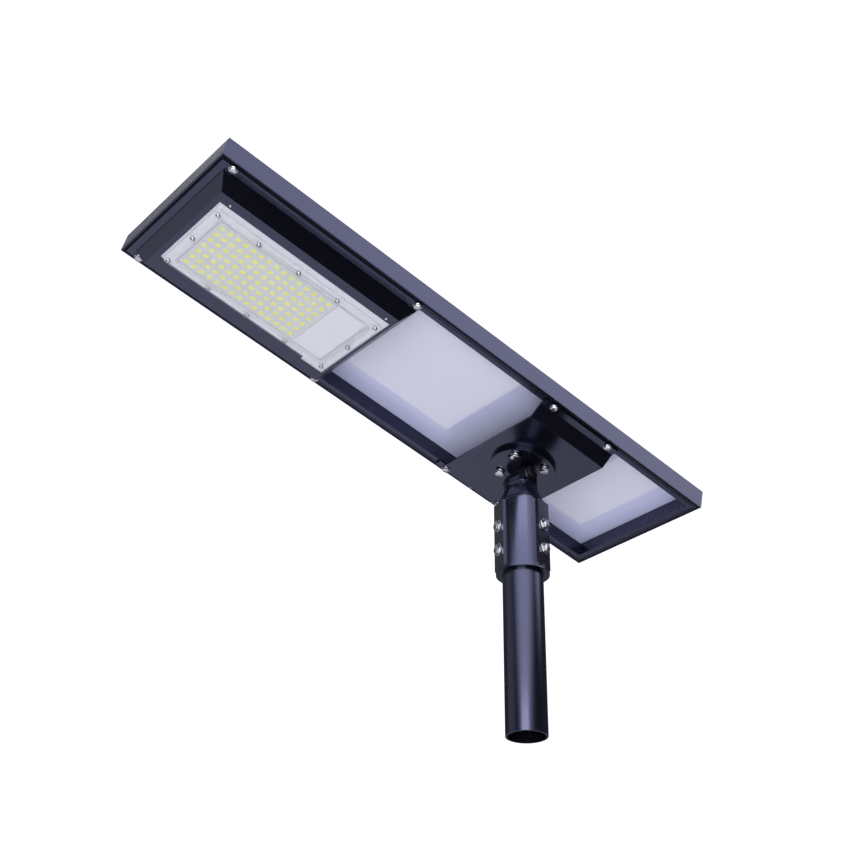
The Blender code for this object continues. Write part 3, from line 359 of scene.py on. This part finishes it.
def addTurned(bm, profile, steps, axes=upright):
    # a turned shape from its outline, radius then height
    ring = [bm.verts.new((radius, 0, height)) for radius, height in profile]
    line = [bm.edges.new(pair) for pair in zip(ring, ring[1:])]
    before = set(bm.faces)
    bmesh.ops.spin(
        bm, geom=ring + line, cent=(0, 0, 0), axis=(0, 0, 1),
        angle=2 * math.pi, steps=steps, use_merge=True)
    verts = {vertex for face in bm.faces if face not in before for vertex in face.verts}
    bmesh.ops.transform(bm, matrix=axes, verts=list(verts))


def addBorder(bm, x0, x1, y0, y1, low, high, width, bevel=0.0):
    # four straight strips round a rectangle
    for left, right, near, far in (
            (x0, x1, y0, y0 + width), (x0, x1, y1 - width, y1),
            (x0, x0 + width, y0 + width, y1 - width), (x1 - width, x1, y0 + width, y1 - width)):
        addBox(bm, (left, near, low), (right, far, high), bevel, 1)


# rails, sheet metal, cases and castings: the frame's own shape with its edges rounded

railEdge = 0.0005
refined = {
    "lamp_tray": dict(finish="sheetCoat", slotName="sheet_coat", bevel=0.0006),
    "mounting_bracket": dict(finish="sheetCoat", slotName="sheet_coat", bevel=0.0008),
    "heat_plate": dict(finish="heatPlate", slotName="heat_plate", bevel=0.0004),
    "battery_pack": dict(finish="batteryWrap", slotName="battery_wrap", bevel=0.0022, segments=4),
    "charge_controller": dict(finish="darkCase", slotName="dark_case", bevel=0.0012, segments=3),
    "junction_box": dict(finish="darkCase", slotName="dark_case", bevel=0.0012, segments=3),
    "driver_cover": dict(finish="driverGrey", slotName="driver_cover", bevel=0.0008, segments=3),
    "knuckle_flange": dict(
        finish="castCoat", slotName="cast_coat", body="knuckle", bevel=0.0012, segments=3),
}

for side in ("near", "far", "lamp_end", "tail_end"):
    refine("frame_rail_" + side, "railCoat", "frame_aluminium", railEdge)
for node, look in refined.items():
    refine(node, **look)
print("sheet metal and rails done")


# pole

poleShape = dict(steps=160, edge=0.0008, bow=0.3)


def makePole():
    low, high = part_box("pole_tube")
    outer = high.x
    inner = min(math.hypot(v.co.x, v.co.y) for v in nodes["pole_tube"].data.vertices)
    edge = poleShape["edge"]
    bow = edge * poleShape["bow"]
    profile = [
        (inner, low.z), (outer - edge, low.z), (outer - bow, low.z + bow), (outer, low.z + edge),
        (outer, high.z - edge), (outer - edge, high.z), (inner, high.z), (inner, low.z)]
    bm = bmesh.new()
    addTurned(bm, profile, poleShape["steps"])
    mesh = meshOf("pole_tube_fine", bm, doubles=mergeGap)
    addPiece("pole_tube_fine", mesh, "poleCoat", "pole", ("pole_tube",))


makePole()
print("pole done")


# sleeve, with a raised line where its body ends and the shoulder starts, coloured near black as painted
# shade of the step

sleeveShape = dict(
    edge=0.0010, bodyRadius=0.0365, linePart=0.19, lineHeight=0.0018, lineProud=0.0004, lineRoot=0.002,
    steps=128)
# how the shoulder is found in the frame's own sleeve
sleeveReading = dict(
    bodyLeast=0.033, neckMost=0.030, pivotRoom=0.03, shoulderLeast=0.01, sameLevel=0.00002)


def makeSleeve():
    refine(
        "pole_sleeve", "castCoat", "cast_coat", sleeveShape["edge"], body="fitter", segments=3,
        angle=28.0)
    spots = spotsIn("pole_sleeve", upright)
    levels = sorted({round(spot.z, 5) for spot in spots})
    reach = {
        level: max(
            spot.xy.length for spot in spots if abs(spot.z - level) < sleeveReading["sameLevel"])
        for level in levels}
    underPivot = tiltPivot.z - sleeveReading["pivotRoom"]
    bodyTop = max(
        level for level in levels
        if reach[level] > sleeveReading["bodyLeast"] and level < underPivot)
    neckBase = min(
        level for level in levels
        if reach[level] < sleeveReading["neckMost"]
        and level > bodyTop + sleeveReading["shoulderLeast"])
    print("sleeve shoulder from", bodyTop, "to", neckBase)
    high, proud = sleeveShape["lineHeight"], sleeveShape["lineProud"]
    slope = (reach[neckBase] - sleeveShape["bodyRadius"]) / (neckBase - bodyTop)
    low = bodyTop + (neckBase - bodyTop) * sleeveShape["linePart"]
    wide = sleeveShape["bodyRadius"] + slope * (low - bodyTop)
    narrow = wide + slope * high
    root = sleeveShape["lineRoot"]
    profile = [
        (wide - root, low), (wide, low), (wide + proud, low + proud),
        (narrow + proud, low + high - proud), (narrow, low + high), (narrow - root, low + high),
        (wide - root, low)]
    bm = bmesh.new()
    addTurned(bm, profile, sleeveShape["steps"])
    mesh = meshOf("sleeve_shade_line", bm, doubles=mergeGap)
    # the raised line is coloured near black: painted shade of the shoulder step
    addPiece("sleeve_shade_line", mesh, "shadowGap", "fitter", angle=50.0)


makeSleeve()
print("sleeve done")


# bolts

boltShape = dict(
    washer=0.0011, washerEdge=0.0003, washerSteps=32, washerHole=0.5,
    headEdge=0.0005, shankSteps=20, tipChamfer=0.2, pivotNutEdge=0.0006)
# how a bolt is found in the frame: points of one level, the least head, room beyond the seat
boltReading = dict(sameLevel=0.00005, headLeast=0.001, pastSeat=0.0008)


def boltPlace(node, axes):
    # where a bolt stands: its size across corners and the heights of its head, seat and tip
    spots = spotsIn(node, axes)
    levels = sorted({round(spot.z, 5) for spot in spots})
    head = [spot for spot in spots if spot.z < levels[0] + boltReading["sameLevel"]]
    centre = sum(head, Vector()) / len(head)
    seat = min(level for level in levels if level > levels[0] + boltReading["headLeast"])
    return dict(
        axes=axes @ Matrix.Translation((centre.x, centre.y, 0)),
        head=levels[0], seat=seat, tip=levels[-1],
        corner=max((spot.xy - centre.xy).length for spot in head),
        shank=min(
            (spot.xy - centre.xy).length for spot in spots if spot.z > seat + boltReading["pastSeat"]))


def addPrism(bm, corner, low, high, edge):
    made = bmesh.ops.create_cone(
        bm, cap_ends=True, segments=6, radius1=corner, radius2=corner, depth=high - low,
        matrix=Matrix.Translation((0, 0, (low + high) / 2)))
    edges = list({e for v in made["verts"] for e in v.link_edges})
    bmesh.ops.bevel(
        bm, geom=edges, offset=edge, segments=2, profile=0.5, affect="EDGES", material=-1)


def washerOutline(inner, outer, low, high, edge):
    return [
        (inner, low), (outer - edge, low), (outer, low + edge), (outer, high - edge),
        (outer - edge, high), (inner, high), (inner, low)]


def shankOutline(shank, low, tip):
    chamfer = shank * boltShape["tipChamfer"]
    return [(0, tip), (shank - chamfer, tip), (shank, tip - chamfer), (shank, low), (0, low)]


def makeBolt(node, axes, body, finish="brightSteel", reach=1.12):
    # reach is the washer's radius over the head's
    bolt = boltPlace(node, axes)
    washerLow = bolt["seat"] - boltShape["washer"]
    washer = washerOutline(
        bolt["shank"] * boltShape["washerHole"], bolt["corner"] * reach, washerLow, bolt["seat"],
        boltShape["washerEdge"])
    bm = bmesh.new()
    addTurned(bm, washer, boltShape["washerSteps"])
    addTurned(bm, shankOutline(bolt["shank"], washerLow, bolt["tip"]), boltShape["shankSteps"])
    addPrism(bm, bolt["corner"], bolt["head"], washerLow, boltShape["headEdge"])
    mesh = meshOf(node + "_fine", bm, bolt["axes"], doubles=boltMergeGap)
    addPiece(node + "_fine", mesh, finish, body, (node,), angle=30.0)


def padAxes(node):
    # level axes of a screw that points at the pole's own axis
    spots = spotsIn(node, upright)
    middle = sum(spots, Vector()) / len(spots)
    heading = math.atan2(middle.y, middle.x)
    inward = Matrix.Rotation(heading, 4, "Z") @ Matrix.Rotation(-math.pi / 2, 4, "Y")
    return Matrix.Translation((0, 0, middle.z)) @ inward


washerReach = dict(tray_bolt=1.12, bracket_bolt=1.12, flange_bolt=1.02, set_screw=1.3)
for family in ("tray_bolt", "bracket_bolt", "flange_bolt"):
    for count in range(1, 5):
        makeBolt("%s_%d" % (family, count), headAxes, "head", reach=washerReach[family])
for count in range(1, 7):
    node = "set_screw_%d" % count
    makeBolt(node, padAxes(node), "fitter", reach=washerReach["set_screw"])
pivotAxes = Matrix.Translation(tiltPivot) @ Matrix.Rotation(-math.pi / 2, 4, "X")
makeBolt("pivot_bolt", pivotAxes, "fitter", "darkSteel")
refine("pivot_nut", "darkSteel", "bright_steel", boltShape["pivotNutEdge"], body="fitter")
print("bolts done")


# nuts on the flange bolts, above the bracket plate

nutShape = dict(height=0.0030, corner=0.0068, edge=0.0004, tipAbovePlate=0.0038)


def makeFlangeNut(count):
    bolt = boltPlace("flange_bolt_%d" % count, headAxes)
    plateTop = bolt["tip"] - nutShape["tipAbovePlate"]
    bm = bmesh.new()
    addPrism(bm, nutShape["corner"], plateTop, plateTop + nutShape["height"], nutShape["edge"])
    name = "flange_nut_%d" % count
    mesh = meshOf(name, bm, bolt["axes"])
    addPiece(name, mesh, "brightSteel", "head", angle=30.0)


for count in range(1, 5):
    makeFlangeNut(count)


# lens screws, with a round recess

screwShape = dict(
    steps=24, headHeight=0.0022, recess=0.0014, recessDepth=0.0012, recessLip=0.0003,
    shankFrom=0.003, shankLeast=0.0005, crownFrom=30, crownStep=12)


def makeLensScrew(count):
    node = "lens_screw_%02d" % count
    low, high = boxIn(node)
    centre = (low + high) / 2
    spots = spotsIn(node, headAxes)
    radius = (high.x - low.x) / 2
    shank = min(
        (spot.xy - centre.xy).length for spot in spots
        if spot.z > low.z + screwShape["shankFrom"]
        and (spot.xy - centre.xy).length > screwShape["shankLeast"])
    headHeight, recess = screwShape["headHeight"], screwShape["recess"]
    recessTop = low.z + screwShape["recessDepth"]
    turns = [math.radians(turn) for turn in range(screwShape["crownFrom"], 91, screwShape["crownStep"])]
    profile = [(0, recessTop), (recess, recessTop), (recess, low.z + screwShape["recessLip"])]
    profile += [(radius * math.sin(turn), low.z + headHeight * (1 - math.cos(turn))) for turn in turns]
    profile += [(shank, low.z + headHeight), (shank, high.z), (0, high.z)]
    bm = bmesh.new()
    addTurned(bm, profile, screwShape["steps"])
    place = headAxes @ Matrix.Translation((centre.x, centre.y, 0))
    mesh = meshOf(node + "_fine", bm, place, doubles=mergeGap)
    addPiece(node + "_fine", mesh, "brightSteel", "head", (node,), angle=40.0)


for count in range(1, 13):
    makeLensScrew(count)
print("lens screws done")


# LED board with its chips

boardShape = dict(
    columns=15, rows=7, outerMargin=0.0094, innerMargin=0.0054, sideMargin=0.0084,
    chip=0.0082, chipHeight=0.0007, glow=0.0062, glowHeight=0.00035, chipEdge=0.0003, edge=0.0003)


def addPad(bm, x, y, half, low, high):
    addBox(bm, (x - half, y - half, low), (x + half, y + half, high), boardShape["chipEdge"], 1)


def makeBoard():
    refine("led_board", "boardWhite", "board_white", boardShape["edge"])
    low, high = boxIn("led_board")
    chips = bmesh.new()
    glows = bmesh.new()
    half, glowHalf = boardShape["chip"] / 2, boardShape["glow"] / 2
    chipLow = low.z - boardShape["chipHeight"]
    glowLow = chipLow - boardShape["glowHeight"]
    x0, x1 = low.x + boardShape["outerMargin"], high.x - boardShape["innerMargin"]
    y0, y1 = low.y + boardShape["sideMargin"], high.y - boardShape["sideMargin"]
    for column in range(boardShape["columns"]):
        for row in range(boardShape["rows"]):
            x = x0 + (x1 - x0) * column / (boardShape["columns"] - 1)
            y = y0 + (y1 - y0) * row / (boardShape["rows"] - 1)
            addPad(chips, x, y, half, chipLow, low.z)
            addPad(glows, x, y, glowHalf, glowLow, chipLow)
    addPiece("led_chips", meshOf("led_chips", chips, headAxes), "chipWhite", "head")
    addPiece("led_phosphors", meshOf("led_phosphors", glows, headAxes), "phosphor", "head")


makeBoard()
print("board done")


# lens, with ribs along its border that show through it

lensShape = dict(
    edge=0.0006, ribWidth=0.0011, ribInset=0.0112, ribEdge=0.0002, ribProud=0.0001, rimDepth=0.0025,
    secondGap=0.0034, secondDepth=0.0006)


def makeLens():
    refine("lens_cover", "lensClear", "lens_clear", lensShape["edge"], segments=3)
    low, high = boxIn("lens_cover")
    inset, width, edge = lensShape["ribInset"], lensShape["ribWidth"], lensShape["ribEdge"]
    face = low.z - lensShape["ribProud"]
    y0, y1 = low.y + inset, high.y - inset
    rib = bmesh.new()
    addBorder(
        rib, low.x + inset, high.x - inset, y0, y1, face, high.z - lensShape["rimDepth"], width, edge)
    second = high.x - inset - lensShape["secondGap"]
    secondTop = low.z + lensShape["secondDepth"]
    addBox(rib, (second - width, y0, face), (second, y1, secondTop), edge, 1)
    addPiece("lens_ribs", meshOf("lens_ribs", rib, headAxes), "lensRib", "head")


makeLens()
print("lens done")


# solar cells, seen through the front glass

# the depths are below the top of the cells' film
cellShape = dict(
    columns=11, rows=3, spacing=0.0024, border=0.012, bars=4, barWidth=0.0007,
    filmDepth=0.0005, waferLow=0.00045, waferTop=0.00012, waferEdge=0.0001,
    barLow=0.00015, barTop=0.00003)


def makeCells():
    low, high = boxIn("solar_cells")
    film = bmesh.new()
    addBox(film, low, (high.x, high.y, high.z - cellShape["filmDepth"]))
    mesh = meshOf("cell_film", film, headAxes)
    addPiece("cell_film", mesh, "cellFilm", "head", ("solar_cells",))
    border, gap, half = cellShape["border"], cellShape["spacing"] / 2, cellShape["barWidth"] / 2
    waferLow, waferTop = high.z - cellShape["waferLow"], high.z - cellShape["waferTop"]
    stepX = (high.x - low.x - 2 * border) / cellShape["columns"]
    stepY = (high.y - low.y - 2 * border) / cellShape["rows"]
    cells = bmesh.new()
    bars = bmesh.new()
    for column in range(cellShape["columns"]):
        for row in range(cellShape["rows"]):
            x = low.x + border + stepX * column
            y = low.y + border + stepY * row
            addBox(
                cells, (x + gap, y + gap, waferLow), (x + stepX - gap, y + stepY - gap, waferTop),
                cellShape["waferEdge"], 1)
    for row in range(cellShape["rows"]):
        for bar in range(cellShape["bars"]):
            y = low.y + border + stepY * (row + (bar + 0.5) / cellShape["bars"])
            addBox(
                bars, (low.x + border, y - half, high.z - cellShape["barLow"]),
                (high.x - border, y + half, high.z - cellShape["barTop"]))
    addPiece("cell_wafers", meshOf("cell_wafers", cells, headAxes), "cellBlue", "head")
    addPiece("cell_busbars", meshOf("cell_busbars", bars, headAxes), "busbar", "head")


makeCells()
print("cells done")


# small screws on the tray's border and under the far rail

# the outline is in shares of the radius and the height
trimScrews = dict(
    radius=0.0021, height=0.0012, steps=18,
    outline=((0, 0.45), (0.35, 0.45), (0.4, 1), (0.8, 0.85), (1, 0.3), (1, 0), (0, 0)),
    trayEnds=(0.015, 0.012), plateGap=0.0010,
    bracketFoot=0.0279, railSpots=(0.0488, 0.0953), railInset=0.0040)


def addTrimScrew(bm, x, y, face):
    outline = [
        (trimScrews["radius"] * out, face - trimScrews["height"] * up)
        for out, up in trimScrews["outline"]]
    addTurned(bm, outline, trimScrews["steps"], Matrix.Translation((x, y, 0)))


def makeTrimScrews():
    trayFace = boxIn("lamp_tray")[0].z
    plateLow, plateHigh = boxIn("heat_plate")
    railLow, railHigh = boxIn("frame_rail_far")
    bracketX = boxIn("mounting_bracket")[0].x + trimScrews["bracketFoot"]
    first, last = trimScrews["trayEnds"]
    bm = bmesh.new()
    for x in (plateLow.x + first, plateHigh.x - last):
        addTrimScrew(bm, x, plateLow.y - trimScrews["plateGap"], trayFace)
    for offset in trimScrews["railSpots"]:
        addTrimScrew(bm, bracketX + offset, railHigh.y - trimScrews["railInset"], railLow.z)
    mesh = meshOf("trim_screws", bm, headAxes, doubles=boltMergeGap)
    addPiece("trim_screws", mesh, "brightSteel", "head")


makeTrimScrews()
print("trim screws done")


# painted shade along the underside of the frame: a thin near-black strip laid where the groove's shadow
# falls

grooveShadeShape = dict(inset=0.0022, width=0.0030, proud=0.00015)


def makeGrooveShade():
    nearLow, nearHigh = boxIn("frame_rail_near")
    farLow, farHigh = boxIn("frame_rail_far")
    inset = grooveShadeShape["inset"]
    y0, y1 = min(nearLow.y, farLow.y) + inset, max(nearHigh.y, farHigh.y) - inset
    bm = bmesh.new()
    addBorder(
        bm, nearLow.x + inset, nearHigh.x - inset, y0, y1,
        nearLow.z - grooveShadeShape["proud"], nearLow.z, grooveShadeShape["width"])
    mesh = meshOf("frame_groove_shade", bm, headAxes)
    # the strip takes the near-black painted shade finish
    addPiece("frame_groove_shade", mesh, "shadowGap", "head")


makeGrooveShade()
print("groove done")


# carried-over nodes keep their shape and take a finish

carried = {
    "back_sheet": "backSheet", "front_glass": "frontGlass", "lens_gasket": "gasketRubber",
    "battery_strap": "brightSteel", "panel_lead": "leadBlack", "lamp_lead": "leadGrey",
    "battery_lead": "leadRed",
}
carried.update({"corner_key_%d" % count: "castKey" for count in range(1, 5)})
for node, finish in carried.items():
    for slot in nodes[node].material_slots:
        slot.material = materials[finish]
print("carried nodes finished:", len(carried))


# floor, light and camera

studio = dict(
    floorHeight=-1.35, floorRadius=1.25, floorSteps=96, sky=(1.0, 1.0, 1.12), dim=0.07, backPower=1.15,
    glows=(
        dict(towards=(-0.05, 0.72, -0.69), start=0.85, end=0.99, power=0.54),
        dict(towards=(0.10, 0.10, -0.99), start=0.10, end=0.90, power=0.30),
        dict(towards=(-0.54, -0.67, 0.51), start=0.50, end=0.985, power=3.0),
        dict(towards=(0.56, -0.64, 0.525), start=0.91, end=0.985, power=2.2),
        dict(towards=(-0.80, 0.58, 0.10), start=0.84, end=0.99, power=0.42),
        dict(towards=(-0.20, 0.50, 0.84), start=0.70, end=0.98, power=0.30)),
    shadeTowards=(0.32, -0.76, -0.56), shadeStart=0.50, shadeEnd=0.84, shadeShare=0.96)
lamps = (
    dict(name="underPanel", place=(-2.5, -2.1, -1.2), size=2.6, power=104),
    dict(name="highPanel", place=(-1.2, -1.6, 2.6), size=2.0, power=26),
    dict(name="backPanel", place=(0.5, 1.5, 3.2), size=2.0, power=34),
)
view = dict(place=(-1.3136, -1.4014, -0.6274), target=(-0.3984, -0.2573, 0.2344), roll=0.85, lens=61.18)


def makeFloor():
    bm = bmesh.new()
    bmesh.ops.create_circle(
        bm, cap_ends=True, segments=studio["floorSteps"], radius=studio["floorRadius"],
        matrix=Matrix.Translation((0, 0, studio["floorHeight"])))
    mesh = bpy.data.meshes.new("floor")
    bm.to_mesh(mesh)
    bm.free()
    mesh.materials.append(materials["floorPale"])
    floor = bpy.data.objects.new("floor", mesh)
    bpy.context.scene.collection.objects.link(floor)


def lobe(ray, towards, start, end):
    # a soft round patch of the sky, 0 outside it and 1 at its middle
    facing = ray.make(
        "ShaderNodeVectorMath", {"operation": "DOT_PRODUCT"},
        {0: ray, 1: Vector(towards).normalized()}, output=1)
    return ray.make(
        "ShaderNodeMapRange", {"interpolation_type": "SMOOTHSTEP"},
        {"Value": facing, "From Min": start, "From Max": end})


def makeSky():
    world = bpy.data.worlds.new("studio")
    world.use_nodes = True
    tree = world.node_tree
    tree.nodes.clear()
    base = Wire(tree)
    ray = base.make("ShaderNodeTexCoord", output=0)
    room = studio["dim"]
    for spot in studio["glows"]:
        room = room + lobe(ray, spot["towards"], spot["start"], spot["end"]) * spot["power"]
    shade = lobe(ray, studio["shadeTowards"], studio["shadeStart"], studio["shadeEnd"])
    room = room * (1 - shade * studio["shadeShare"])
    direct = base.make("ShaderNodeLightPath", output=0)
    power = room * (1 - direct) + direct * studio["backPower"]
    glow = base.make("ShaderNodeBackground", inputs={"Color": (*studio["sky"], 1), "Strength": power})
    base.make("ShaderNodeOutputWorld", inputs={"Surface": glow})
    bpy.context.scene.world = world


def aim(thing, place, target, roll=0.0):
    look = (Vector(target) - Vector(place)).to_track_quat("-Z", "Y").to_matrix().to_4x4()
    thing.matrix_world = Matrix.Translation(place) @ look @ Matrix.Rotation(math.radians(roll), 4, "Z")


def makeLamps():
    for lamp in lamps:
        data = bpy.data.lights.new(lamp["name"], "AREA")
        data.shape = "SQUARE"
        data.size = lamp["size"]
        data.energy = lamp["power"]
        thing = bpy.data.objects.new(lamp["name"], data)
        bpy.context.scene.collection.objects.link(thing)
        aim(thing, lamp["place"], tiltPivot)


def makeCamera():
    data = bpy.data.cameras.new("camera")
    data.lens = view["lens"]
    camera = bpy.data.objects.new("camera", data)
    bpy.context.scene.collection.objects.link(camera)
    aim(camera, view["place"], view["target"], view["roll"])
    bpy.context.scene.camera = camera


makeFloor()
makeSky()
makeLamps()
makeCamera()
bpy.context.scene.view_settings.view_transform = "Standard"
print("studio done")
